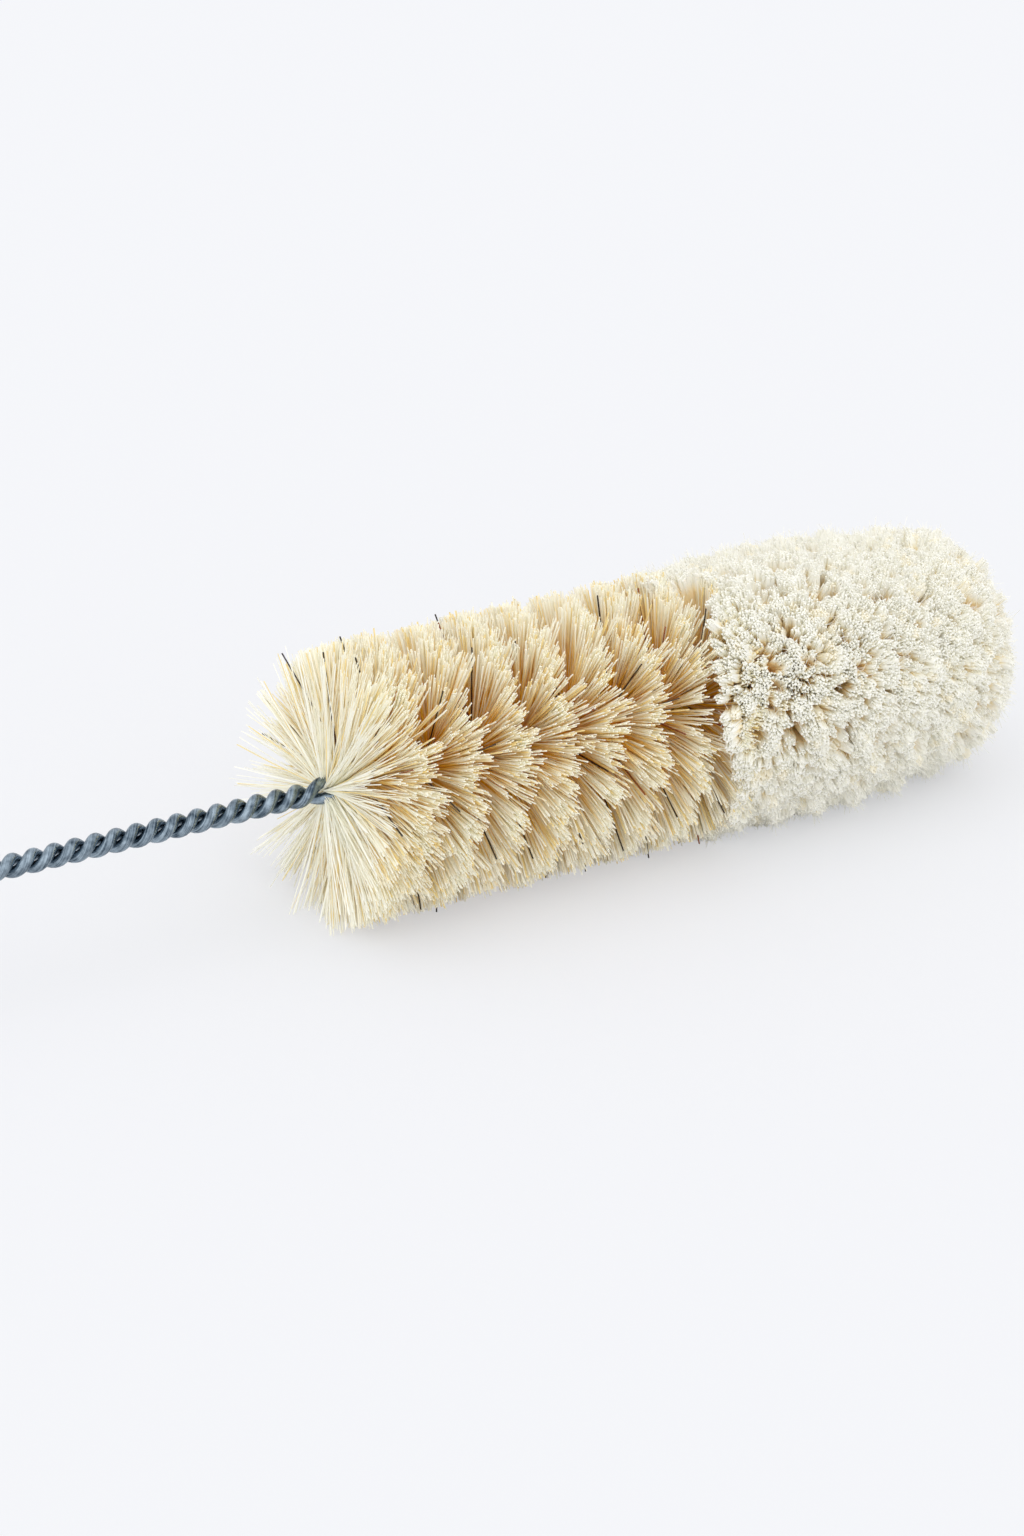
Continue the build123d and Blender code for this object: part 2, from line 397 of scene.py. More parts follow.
def leg_path(side):
    """One leg: y = side * r * cos(turn), z = axis - side * r * sin(turn), x grows by the pitch."""
    turns = np.arange(0, (STEM_TURNS + LEAD_IN_TURNS + HEAD_TURNS) * STATIONS_PER_TURN + 1)
    turns = turns / STATIONS_PER_TURN
    into_head = np.clip((turns - STEM_TURNS) / LEAD_IN_TURNS, 0, 1)
    pitch = STEM_PITCH + into_head * (HEAD_PITCH - STEM_PITCH)
    radius = STEM_STRAND_RADIUS + into_head * (HEAD_STRAND_RADIUS - STEM_STRAND_RADIUS)
    steps = (pitch[1:] + pitch[:-1]) / 2 / STATIONS_PER_TURN
    x = STEM_START + np.concatenate([[0], np.cumsum(steps)])
    y = side * radius * np.cos(2 * pi * turns)
    z = AXIS_HEIGHT - side * radius * np.sin(2 * pi * turns)
    return np.stack([x, y, z], axis=-1)


def eye_path():
    """Straight run to the ring, the arc round it, and the straight run back to the stem."""
    neck = np.array([EYE_TO_STEM, STEM_STRAND_RADIUS])
    leave = atan2(neck[1], neck[0]) + acos(EYE_RADIUS / np.linalg.norm(neck))
    angle = np.linspace(leave, 2 * pi - leave, EYE_STATIONS)
    ring = EYE_RADIUS * np.stack([np.cos(angle), np.sin(angle)], axis=-1)
    share = np.arange(1, RUN_STATIONS)[:, None] / RUN_STATIONS
    first_run = neck + share * (ring[0] - neck)
    flat = np.concatenate([first_run, ring, first_run[::-1] * np.array([1, -1])])
    return EYE_MIDDLE + np.pad(flat, ((0, 0), (0, 1)))


wire_path = np.concatenate([leg_path(1)[::-1], eye_path(), leg_path(-1)])
window = np.hanning(NECK_WINDOW + 2)[1:-1]
window /= window.sum()
averaged = np.stack([np.convolve(line, window, "same") for line in wire_path.T], axis=-1)
near_neck = np.exp(-(((wire_path[:, :1] - STEM_START) / NECK_LENGTH) ** 2))
wire_path = wire_path + near_neck * (averaged - wire_path)
wire_length = np.linalg.norm(np.diff(wire_path, axis=0), axis=1).sum()
print(f"wire path: {len(wire_path)} stations, {wire_length / MM:.0f} mm long")

# %% [markdown]
# ## Skin of the wire
# The profile has to turn with the twist, or the streaks of the finish would slip round the wire. So
# its first direction always points away from the brush's axis, or on the eye from the eye's middle.
# The wire is far longer than it is thick, and on the bake map its skin is cut into rows.

# %% Surface of the wire
WIRE_SIDES = 14
WIRE_BAKE_ROWS = 16


def wire_directions(path):
    """Directions square to the wire: outwards less its share along the wire, and the one across both."""
    heading = np.gradient(path, axis=0)
    heading /= np.linalg.norm(heading, axis=1, keepdims=True)
    from_axis = path * np.array([0, 1, 1]) - EYE_MIDDLE * np.array([0, 1, 1])
    from_ring = path - EYE_MIDDLE
    outward = np.where(path[:, :1] > EYE_MIDDLE[0], from_axis, from_ring)
    first = outward - (outward * heading).sum(axis=1, keepdims=True) * heading
    first /= np.linalg.norm(first, axis=1, keepdims=True)
    return first, np.cross(heading, first)


def wire_bake_map(stations, sides):
    """The long strip of the wire's skin, cut into rows on the bake map, with a last row for the caps."""
    walls, tips, roots = bake_map(1, np.linspace(0, 1, stations), sides)
    number = np.repeat(np.arange(stations - 1), sides)[:, None]
    per_row = int(np.ceil((stations - 1) / WIRE_BAKE_ROWS))
    row = number // per_row
    ahead = np.array([0, 0, 1, 1])
    side = np.tile(np.arange(sides), stations - 1)[:, None] + np.array([0, 1, 1, 0])
    u = (number - row * per_row + ahead) / per_row
    v = (row + BAKE_MARGIN + (1 - 2 * BAKE_MARGIN) * side / sides) / (WIRE_BAKE_ROWS + 1)
    strip = np.stack([u, v], axis=-1).reshape(walls.shape)
    room = np.array([1, 1 / (WIRE_BAKE_ROWS + 1)])
    caps = [1 - room / 2 + (cap - cap.mean(axis=1, keepdims=True)) * room / 2 for cap in (tips, roots)]
    return [strip, *caps]


stations = len(wire_path)
first, second = wire_directions(wire_path)
wire_radii = np.full((1, stations, 1), WIRE_RADIUS)
wire_points = ring_points(wire_path[None], wire_radii, first[None], second[None], WIRE_SIDES, np.zeros(1))
wire_map = strand_map(1, np.linspace(0, 1, stations), WIRE_SIDES)
wire = put_piece(
    "smooth_twisted_wire",
    wire_points,
    {"tone": np.zeros(stations * WIRE_SIDES)},
    strand_faces(1, stations, WIRE_SIDES),
    {"strand": wire_map, "OFBake": wire_bake_map(stations, WIRE_SIDES)},
    smooth=True,
)
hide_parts("twisted_wire")

# %% [markdown]
# ## Galvanised finish
# Zinc on drawn wire is a blue-grey metal, duller in some patches than in others, with streaks along
# it from the die. The patches are noise on Object coordinates, which are in metres, so their size is
# a real one. The streaks follow the strand map, and both change the brightness. Metal needs no
# painted shine: it mirrors the pale room, and the slits between the legs go dark by themselves.

# %% Material of the wire
DULL_ZINC = paint(48, 64, 78)
BRIGHT_ZINC = paint(166, 182, 194)

galvanised, tree, shader = new_material("galvanised_zinc")
coords = add_node(tree, "ShaderNodeTexCoord").outputs["Object"]
patches = add_node(
    tree,
    "ShaderNodeTexNoise",
    {"Vector": coords, "Scale": 420.0, "Detail": 4.0, "Roughness": 0.6},
).outputs["Fac"]
die_lines = lines_along(tree, 4.0, 60.0)
streaked = add_math(tree, "ADD", patches, die_lines)
brightness = map_range(tree, streaked, {"From Min": 0.75, "From Max": 1.25})
zinc = mix_colours(tree, brightness, DULL_ZINC, BRIGHT_ZINC)
dullness = map_range(tree, patches, {"From Min": 0.3, "From Max": 0.7, "To Min": 0.18, "To Max": 0.34})
bump = add_bump(tree, die_lines, 0.03 * MM)
set_inputs(tree, shader, {"Base Color": zinc, "Roughness": dullness, "Normal": bump, "Metallic": 1.0})
wire.data.materials.append(galvanised)

# %% [markdown]
# ## Bristles
# The hairs lie loose between the legs until the twist turns them into a double helix, so at every
# place along the head they leave the wire in two opposite directions. They stick together in small
# clumps, open out a little along the brush and are cut to one diameter. The first ones have no
# neighbours in front, so they splay in all directions, and those that the table presses on move
# towards the stem. Blender's hair curves could grow them, but a mesh is exact and exports with its
# colours: each hair is a three-sided strand with three stations. Its sides stay flat, because
# normals rounded over so few sides would swallow light.

# %% Lines of the fill
GRIP_RADIUS = 0.8 * MM  # where the strands start, between the legs
SPLAY_SHARE = 0.5  # of the first row, where the clumps splay
SPLAY_LEAN = 1.2  # how much more they lean there
SPLAY_DROOP = 3.5 * MM  # how far the lowest lean to the stem there, and the highest away from it
LEAN_LIMIT = 6.0 * MM
STRAY_FACTOR = 3.0  # how much further than its neighbours a stray strand leans


def fill_lines(rng, row, clumps, per_clump, stations, reach_at, spread):
    """Paths of one half turn of fill, as (strands, stations, 3).

    clumps are three arrays: the share of the row where a clump starts, the side of the wire that it
    leaves, and its lean along the brush. A strand that starts at share s of row number k leaves the
    wire at the angle pi * (k + s). At share f of its length it is f * reach out, and it has moved by
    f * lean along the brush and f * swing round it, plus a bow that is widest in the middle. Where
    the clumps splay, their angle is a random one and their lean grows.
    """
    clump_share, clump_side, clump_lean = clumps
    count = len(clump_share)
    clump = np.repeat(np.arange(count), per_clump)
    strands = len(clump)
    splay = np.clip(1 - (row + clump_share) / SPLAY_SHARE, 0, 1)
    clump_angle = pi * (row + clump_share) + splay * rng.uniform(-pi / 2, pi / 2, count)
    downward = -clump_side * np.cos(clump_angle)
    angle = clump_angle[clump]
    side = clump_side[clump]
    stray = np.where(rng.random(strands) < spread["stray_share"], STRAY_FACTOR, 1)
    lean = np.clip((1 + SPLAY_LEAN * splay) * clump_lean, -LEAN_LIMIT, LEAN_LIMIT)
    lean = (lean - SPLAY_DROOP * splay * downward)[clump] + stray * rng.normal(0, spread["lean"], strands)
    swing = rng.normal(0, spread["clump_swing"], count)[clump]
    swing = swing + stray * rng.normal(0, spread["swing"], strands)
    trim = rng.normal(0, spread["clump_trim"], count)[clump] + rng.normal(0, spread["trim"], strands)
    bow = rng.normal(0, spread["bow"], (2, strands))
    share = clump_share[clump] + rng.normal(0, spread["share"], strands)
    start = HEAD_START + (row + share) * ROW_LENGTH
    zeros = np.zeros(strands)
    outward = side[:, None] * np.stack([zeros, np.sin(angle), np.cos(angle)], axis=-1)
    sideways = np.stack([zeros, np.cos(angle), -np.sin(angle)], axis=-1)
    f = stations[None, :, None]
    hump = 4 * f * (1 - f)
    length = (reach_at(start) + trim - GRIP_RADIUS)[:, None, None]
    paths = outward[:, None] * (GRIP_RADIUS + f * length)
    paths = paths + sideways[:, None] * (f * swing[:, None, None] + hump * bow[0][:, None, None])
    paths[..., 0] += start[:, None]
    paths[..., 0] += (f * lean[:, None, None] + hump * bow[1][:, None, None])[..., 0]
    paths[..., 2] += AXIS_HEIGHT
    return paths


print(f"fill turns {360 * MM / HEAD_PITCH:.1f} degrees in each millimetre of the head")

# %% Clumps of hair
WILD_SHARE = 0.25  # of the clumps, which lean out of their ridge
WILD_FACTOR = 2.0  # how much further they lean


def loose_clumps(rng, shares, lean, lean_spread):
    """Clumps as the twist leaves them: on either side of the wire, and some lean far out of the ridge."""
    count = len(shares)
    wild = np.where(rng.random(count) < WILD_SHARE, WILD_FACTOR, 1)
    return shares, rng.choice([-1.0, 1.0], count), lean + wild * rng.normal(0, lean_spread, count)


def even_shares(rng, count):
    """Places along a half turn, one at random in each of so many equal steps."""
    return (np.arange(count) + rng.random(count)) / count


def above_floor(paths, radius):
    """Lifts what would sink into the table up to a strand's own radius above it."""
    lifted = paths.copy()
    lifted[..., 2] = np.maximum(paths[..., 2], radius)
    return lifted


# %% [markdown]
# ## Rows of bristles
# Every half turn of the twist is one piece, as it is one node of the CAD model. The first row also
# has a collar: small clumps of finer hairs that begin a little before it and hide the wire's way
# into the head. Hairs near the stem are painted pale down to the wire: painted light, because light
# reaches all of them there.

# %% Rows of bristles
BRISTLE_REACH = 28.2 * MM
CLUMPS_PER_ROW = 218
HAIRS_PER_CLUMP = 10
HAIR_RADIUS = 0.165 * MM
HAIR_RANGE = (0.8, 1.15)  # of that radius, from the thinnest hairs to the thickest
HAIR_SIDES = 3
HAIR_STATIONS = np.array([0.0, 0.55, 1.0])
FLOOR_CLEARANCE = 0.25 * MM
CLUMP_LEAN = 1.5 * MM
HAIR_SPREAD = {
    "share": 0.02,
    "lean": 0.8 * MM,
    "clump_swing": 1.5 * MM,
    "swing": 0.9 * MM,
    "clump_trim": 0.35 * MM,
    "trim": 0.35 * MM,
    "bow": 0.3 * MM,
    "stray_share": 0.02,
}
COLLAR_CLUMPS = 420
HAIRS_PER_COLLAR_CLUMP = 4
COLLAR_FINENESS = 0.7  # thickness of the collar's hairs against the others
COLLAR_LEAD_SHARE = 0.3  # how far before the first row they begin, in rows
PAINTED_LIGHT_DEPTH = 5.0 * MM  # how far into the head the hairs are pale down to the wire
BRISTLE_SEED = 11


def bristle_reach(x):
    """Bristles are cut to one diameter all along."""
    return np.full(x.shape, BRISTLE_REACH)


bristle_pieces = []
for row, node in enumerate(bristle_rows):
    rng = np.random.default_rng([BRISTLE_SEED, row])
    clumps = loose_clumps(rng, even_shares(rng, CLUMPS_PER_ROW), 0, CLUMP_LEAN)
    paths = fill_lines(rng, row, clumps, HAIRS_PER_CLUMP, HAIR_STATIONS, bristle_reach, HAIR_SPREAD)
    if row == 0:
        shares = rng.uniform(-COLLAR_LEAD_SHARE, SPLAY_SHARE, COLLAR_CLUMPS)
        clumps = loose_clumps(rng, shares, 0, CLUMP_LEAN)
        collar = fill_lines(
            rng, row, clumps, HAIRS_PER_COLLAR_CLUMP, HAIR_STATIONS, bristle_reach, HAIR_SPREAD
        )
        paths = np.concatenate([paths, collar])
    paths = above_floor(paths, FLOOR_CLEARANCE)
    hairs = len(paths)
    tone = rng.random(hairs)
    thickness = HAIR_RADIUS * rng.uniform(*HAIR_RANGE, hairs)
    thickness[CLUMPS_PER_ROW * HAIRS_PER_CLUMP :] *= COLLAR_FINENESS
    radii = np.tile(thickness[:, None, None], (1, len(HAIR_STATIONS), 1))
    points = strand_surface(paths, radii, HAIR_SIDES, rng.uniform(0, 2 * pi, hairs))
    # Painted light: near the stem the hairs take the tip's colour down to the wire.
    painted_light = np.exp(-np.maximum(paths[:, 0, 0] - HEAD_START, 0) / PAINTED_LIGHT_DEPTH)
    piece = strand_piece(f"bristles_{row + 1}", points, HAIR_STATIONS, tone, painted_light)
    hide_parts(node)
    bristle_pieces.append(piece)
print(f"{len(bristle_pieces)} rows of {hairs} bristles, and {len(collar)} in the collar")

# %% [markdown]
# ## Dark hairs
# No animal's coat is all one colour, and a few dark hairs are left when the bristle is sorted. They
# lie singly on the ridges and stand out at the trimmed edge. Painting some of the pale hairs dark
# would leave most of them hidden inside. So they are hairs of their own, by the formula of the
# others, with a lean towards the stem that brings them to the outside of their ridge.

# %% Dark hairs on the ridges
DARK_PER_ROW = 8
DARK_LEAN = -5.0 * MM
DARK_LEAN_SPREAD = 0.9 * MM
DARK_RADIUS = 0.2 * MM
DARK_STAND = 1.2 * MM  # how much longer than the rest
DARK_SEED = 17


def dark_reach(x):
    """Dark hairs stand a little out of the trimmed surface."""
    return bristle_reach(x) + DARK_STAND


rng = np.random.default_rng(DARK_SEED)
dark_paths = []
for row in range(len(bristle_rows)):
    clumps = loose_clumps(rng, even_shares(rng, DARK_PER_ROW), DARK_LEAN, DARK_LEAN_SPREAD)
    dark_paths.append(fill_lines(rng, row, clumps, 1, HAIR_STATIONS, dark_reach, HAIR_SPREAD))
dark_paths = above_floor(np.concatenate(dark_paths), FLOOR_CLEARANCE)
dark_count = len(dark_paths)
dark_radii = np.full((dark_count, len(HAIR_STATIONS), 1), DARK_RADIUS)
dark_points = strand_surface(dark_paths, dark_radii, HAIR_SIDES, np.zeros(dark_count))
dark_tone = rng.random(dark_count)
dark_hairs = strand_piece("dark_hairs", dark_points, HAIR_STATIONS, dark_tone, np.zeros(dark_count))
print(f"{dark_hairs.name}: {dark_count} hairs")

# %% [markdown]
# ## Bristle finish
# Cut bristle is cream at its ends. Towards the wire it is painted honey-coloured: a painted shade for
# the light that comes through many hairs and takes up their colour. Some hairs are pale nearly down
# to the wire, and others stay golden almost to the end. All of this follows the strand: its own number
# gives the shade, and V along it the change of colour. The dark hairs use the same group with dark
# browns.

# %% Materials of the bristles
def hair_material(name, colours):
    """Bristle with its own colours, shinier on some hairs than on others."""
    material, tree, shader = new_material(name)
    gloss = map_range(tree, strand_number(tree, "tone"), {"To Min": 0.38, "To Max": 0.6})
    set_inputs(tree, shader, {"Base Color": fill_colour(tree, colours), "Roughness": gloss})
    return material


bristle = hair_material(
    "natural_bristle",
    {
        # Root is painted shade: the honey colour of light deep among the hairs.
        "Root": paint(250, 206, 46),
        "Tip": paint(255, 254, 242),
        "Odd": paint(247, 226, 164),
        "Gold Until": 0.53,
        "Pale From": 1.22,
        "Shift": 0.7,
        "Spread": 0.05,
        "Odd Share": 0.08,
    },
)
dark_bristle = hair_material(
    "dark_bristle",
    {
        "Root": paint(88, 52, 34),
        "Tip": paint(48, 36, 32),
        "Odd": paint(140, 78, 46),
        "Gold Until": 0.1,
        "Pale From": 1.2,
        "Shift": 0.3,
        "Spread": 0.4,
        "Odd Share": 0.2,
    },
)
for piece in bristle_pieces:
    piece.data.materials.append(bristle)
dark_hairs.data.materials.append(dark_bristle)

# %% [markdown]
# ## Cotton yarn
# Behind the bristles the same twist grips lengths of soft cotton yarn. The yarns are thin where the
# wire pinches them, and their cut ends fray into nubs that crowd together and hide the twist. Loops
# of smooth tube would look like rope, so each yarn is several fine strands that stay close near the
# wire and flare towards the end. The places of the ends come from a sequence that spreads them
# evenly over the brush.

# %% Places of the yarns
COTTON_REACH = 29.0 * MM
COTTON_START = HEAD_START + len(bristle_rows) * ROW_LENGTH
COTTON_GROWTH = 15.0 * MM  # how far the first yarns take to reach the full diameter
COTTON_DECLINE = 26.0 * MM  # how far before the wire's end the yarns begin to shorten
COTTON_FIRST_SHARE = 0.97
COTTON_LAST_SHARE = 0.88
PLASTIC_NUMBER = 1.32471795724


def cotton_reach(x):
    """The cotton swells from the bristles to its full diameter and narrows again to the tip."""
    along = [COTTON_START, COTTON_START + COTTON_GROWTH, HEAD_END - COTTON_DECLINE, HEAD_END]
    return COTTON_REACH * np.interp(x, along, [COTTON_FIRST_SHARE, 1.0, 1.0, COTTON_LAST_SHARE])


def even_yarns(rng, count):
    """Yarns with evenly spread ends: number n takes the fractions of n / g and n / g**2.

    g is the plastic number. The first fraction is the place round the brush, over both sides of the
    wire, and the second is the lean, over the distance from one row to the next.
    """
    number = np.arange(count)
    first, second = rng.random(2)
    around = 2 * ((first + number / PLASTIC_NUMBER) % 1)
    lean = ((second + number / PLASTIC_NUMBER**2) % 1 - 0.5) * ROW_LENGTH
    return around % 1, np.where(around < 1, -1.0, 1.0), lean


print(f"cotton from {COTTON_START / MM:.1f} mm on, {2 * COTTON_REACH / MM:.0f} mm across")

# %% [markdown]
# ## Fold and tufts
# The first yarns lie back over the ends of the bristles, furthest on one side, and all yarn ends
# stick together in tufts with hollows between them. Moving whole yarns would pull them out of the
# wire, so they are bent instead. Four waves that cross each other draw their ends together.

# %% Bends of the yarns
COTTON_STATIONS = np.array([0.1, 0.88, 1.0])
FOLD_BACK = 4.5 * MM  # how far the first yarns lie back all round
FOLD_MORE = 13.0 * MM  # and how much further on one side
FOLD_SIDE = np.array([0.0, -0.8, 0.6])
FOLD_POWER = 3  # the higher, the narrower that side
FOLD_LENGTH = 16.0 * MM  # the fold fades over about this length of the brush
FOLD_RISE = 1.6 * MM  # how far the folded yarns lie above the bristles
TUFT_LENGTHS = np.array([13.0, 9.5, 17.0, 11.0]) * MM
TUFTS_ROUND = np.array([7, -13, 17, -4])
TUFT_PULL = 0.5 * MM
TUFT_CROWN = 0.4 * MM


def bend(lines, move):
    """Moves the end of each line by move, and its other stations s by s**2 * move."""
    return lines + COTTON_STATIONS[None, :, None] ** 2 * move[:, None]


def fold_back(lines):
    """Lays the first yarns back: shift = -(fold + more * facing**power) * exp(-distance / length)."""
    end = lines[:, -1] - np.array([0, 0, AXIS_HEIGHT])
    facing = np.clip(end @ FOLD_SIDE / COTTON_REACH, 0, 1) ** FOLD_POWER
    fade = np.exp(-np.maximum(end[:, 0] - COTTON_START, 0) / FOLD_LENGTH)
    move = end * np.array([0, 1, 1]) / COTTON_REACH * (FOLD_RISE * facing * fade)[:, None]
    move[:, 0] -= (FOLD_BACK + FOLD_MORE * facing) * fade
    return bend(lines, move)


def gather_tufts(lines):
    """Draws the ends together, towards the crests of waves that run along and round the brush.

    An end moves by -pull * sin(phase) across each wave and stands out by crown * cos(phase) more,
    both less near the axis, where the waves would crowd together.
    """
    end = lines[:, -1] - np.array([0, 0, AXIS_HEIGHT])
    angle = np.arctan2(end[:, 2], end[:, 1])
    steepness = np.stack([2 * pi / TUFT_LENGTHS, TUFTS_ROUND / COTTON_REACH], axis=-1)
    phase = end[:, :1] * steepness[:, 0] + angle[:, None] * TUFTS_ROUND
    across = steepness / np.linalg.norm(steepness, axis=1, keepdims=True)
    from_axis = np.hypot(end[:, 1], end[:, 2]) / COTTON_REACH
    shift = -TUFT_PULL * from_axis[:, None] * (np.sin(phase) @ across)
    crown = TUFT_CROWN * from_axis * np.cos(phase).sum(axis=1)
    move_y = crown * np.cos(angle) - shift[:, 1] * np.sin(angle)
    move_z = crown * np.sin(angle) + shift[:, 1] * np.cos(angle)
    return bend(lines, np.stack([shift[:, 0], move_y, move_z], axis=-1))


print(f"{len(TUFT_LENGTHS)} waves gather the yarns into tufts {TUFT_LENGTHS / MM} mm apart")

# %% [markdown]
# ## Frayed ends
# A cut yarn opens into its strands, and the end is a small dome, because the outer strands have the
# longer way. The strands are thickest a few millimetres below their ends. There they meet their
# neighbours and close the gaps, so that what shows between the yarns is the tan painted shade of the
# strands and not the dark.

# %% Strands of a yarn
STRANDS_PER_YARN = 8
GOLDEN_TURN = pi * (3 - 5**0.5)
COTTON_FLARE = np.array([0.3, 0.95, 1.0])  # how far the strands stand apart at each station
STRAND_RADIUS = 0.36 * MM
STRAND_RANGE = (0.75, 1.25)  # of that radius, from the thinnest strands to the thickest
STRAND_PROFILE = np.array([1.2, 2.0, 0.8])  # thickness at each station
NUB_RADIUS = 0.95 * MM
NUB_SCATTER = (0.7, 1.3)  # of a strand's distance from the middle of its yarn
NUB_DOME = 0.35 * MM  # how much shorter the outermost strands of a yarn are
NUB_TRIM = 0.2 * MM


def fray(rng, lines):
    """Strands of many yarns: line + flare * (cos a * first + sin a * second), shorter when further out.

    Strand n of a yarn stands at the angle n * golden turn and the distance sqrt(n), as seeds do in
    a sunflower, so that the strands fill the end of the yarn evenly.
    """
    yarns = len(lines)
    number = np.arange(STRANDS_PER_YARN)
    scatter = rng.uniform(*NUB_SCATTER, (yarns, STRANDS_PER_YARN))
    out = np.sqrt((number + 0.5) / STRANDS_PER_YARN) * scatter
    angle = GOLDEN_TURN * number + rng.uniform(0, 2 * pi, (yarns, 1))
    chord = lines[:, -1] - lines[:, 0]
    heading = chord / np.linalg.norm(chord, axis=1, keepdims=True)
    first = np.cross(heading, np.eye(3)[np.argmin(np.abs(chord), axis=1)])
    first /= np.linalg.norm(first, axis=1, keepdims=True)
    second = np.cross(heading, first)
    across = np.cos(angle)[..., None] * first[:, None] + np.sin(angle)[..., None] * second[:, None]
    shorter = NUB_DOME * out**2 + rng.normal(0, NUB_TRIM, out.shape)
    flared = COTTON_FLARE[:, None] * (NUB_RADIUS * out[..., None] * across)[:, :, None]
    drawn_in = COTTON_STATIONS[:, None] * (shorter[..., None] * heading[:, None])[:, :, None]
    return (lines[:, None] + flared - drawn_in).reshape(-1, len(COTTON_STATIONS), 3)


def cotton_piece(rng, name, node, lines):
    """A piece of frayed yarns that stands for a CAD node, lifted clear of the table."""
    paths = above_floor(fray(rng, lines), STRAND_RADIUS)
    strands = len(paths)
    thickness = STRAND_RADIUS * rng.uniform(*STRAND_RANGE, strands)
    radii = thickness[:, None, None] * STRAND_PROFILE[None, :, None]
    points = strand_surface(paths, radii, HAIR_SIDES, rng.uniform(0, 2 * pi, strands))
    tone = np.repeat(rng.random(len(lines)), STRANDS_PER_YARN)
    piece = strand_piece(name, points, np.linspace(0, 1, len(COTTON_STATIONS)), tone, np.zeros(strands))
    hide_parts(node)
    return piece, paths


# %% Rows of cotton
YARNS_PER_ROW = 760
END_JITTER = 0.4 * MM
COTTON_SPREAD = {
    "share": 0.0,
    "lean": END_JITTER,
    "clump_swing": 0.0,
    "swing": END_JITTER,
    "clump_trim": 0.0,
    "trim": 0.3 * MM,
    "bow": 0.5 * MM,
    "stray_share": 0.03,
}
COTTON_SEED = 23

cotton_pieces = []
cotton_paths = []
for number, node in enumerate(cotton_rows):
    rng = np.random.default_rng([COTTON_SEED, number])
    row = len(bristle_rows) + number
    yarns = even_yarns(rng, YARNS_PER_ROW)
    lines = fill_lines(rng, row, yarns, 1, COTTON_STATIONS, cotton_reach, COTTON_SPREAD)
    lines = gather_tufts(fold_back(lines))
    piece, paths = cotton_piece(rng, f"cotton_yarns_{number + 1}", node, lines)
    cotton_pieces.append(piece)
    cotton_paths.append(paths)
print(f"{len(cotton_pieces)} rows of {YARNS_PER_ROW} yarns, {STRANDS_PER_YARN} strands in each")

# %% [markdown]
# ## The soft tip
# The last yarns fold forward over the cut ends of the wire, so that the brush doesn't scratch the
# bottom of a bottle. They fan out from the end of the wire to a dome, and the outermost lean back
# over the last row, so that no gap opens between the two. A half sphere with a rough skin would look
# moulded. The directions of the yarns are spread evenly over the dome: equal steps of the cosine of
# the lean give equal areas, and turning each yarn on by the golden angle keeps neighbours apart.

# %% Yarns of the tip
TIP_REACH = 18.0 * MM
TIP_YARNS = 1700
TIP_LEAN_LIMIT_SHARE = -0.25  # cosine of the largest lean, which reaches back over the last row
TIP_ROOT_SCATTER = 0.8 * MM
TIP_JITTER = 0.03
TIP_SEED = 37

rng = np.random.default_rng(TIP_SEED)
number = np.arange(TIP_YARNS)
lean_cosine = 1 - (1 - TIP_LEAN_LIMIT_SHARE) * (number + 0.5) / TIP_YARNS
lean_sine = np.sqrt(1 - lean_cosine**2)
turn = GOLDEN_TURN * number
heading = np.stack([lean_cosine, lean_sine * np.cos(turn), lean_sine * np.sin(turn)], axis=-1)
heading += rng.normal(0, TIP_JITTER, heading.shape)
heading /= np.linalg.norm(heading, axis=1, keepdims=True)
side_reach = np.hypot(heading[:, 1], heading[:, 2]) / (COTTON_LAST_SHARE * COTTON_REACH)
tip_length = 1 / np.hypot(np.maximum(heading[:, 0], 0) / TIP_REACH, side_reach)
tip_length += rng.normal(0, COTTON_SPREAD["trim"], TIP_YARNS)
tip_root = np.array([HEAD_END, 0, AXIS_HEIGHT]) + rng.normal(0, TIP_ROOT_SCATTER, (TIP_YARNS, 3))
f = COTTON_STATIONS[None, :, None]
bow = rng.normal(0, COTTON_SPREAD["bow"], (TIP_YARNS, 1, 3))
tip_lines = tip_root[:, None] + f * (tip_length[:, None] * heading)[:, None] + 4 * f * (1 - f) * bow
tip, paths = cotton_piece(rng, "cotton_tip_yarns", "cotton_tip", gather_tufts(tip_lines))
cotton_pieces.append(tip)
cotton_paths.append(paths)
print(f"tip: {TIP_YARNS} yarns, up to {tip_length.max() / MM:.1f} mm long")

# %% [markdown]
# ## Fuzz
# Cotton looks soft because loose fibres stand off every yarn end and blur its outline. Sheen alone
# can't do that, so fine fibres leave the ends in all directions. They are straight three-sided
# strands, thin enough to read as a haze from a step away.

# %% Loose fibres
FIBRES_PER_STRAND = 0.5
FIBRE_RADIUS = 0.05 * MM
FIBRE_LENGTH = 2.6 * MM
FIBRE_RANGE = (0.5, 1.3)  # of that length, from the shortest fibres to the longest
FIBRE_ROOTS = (0.5, 0.95)  # share of a strand's last stretch where fibres start
FIBRE_STATIONS = np.array([0.0, 1.0])
FIBRE_TURN = 0.8  # how far, as a share, fibres turn off the yarn's own direction
FUZZ_SEED = 41

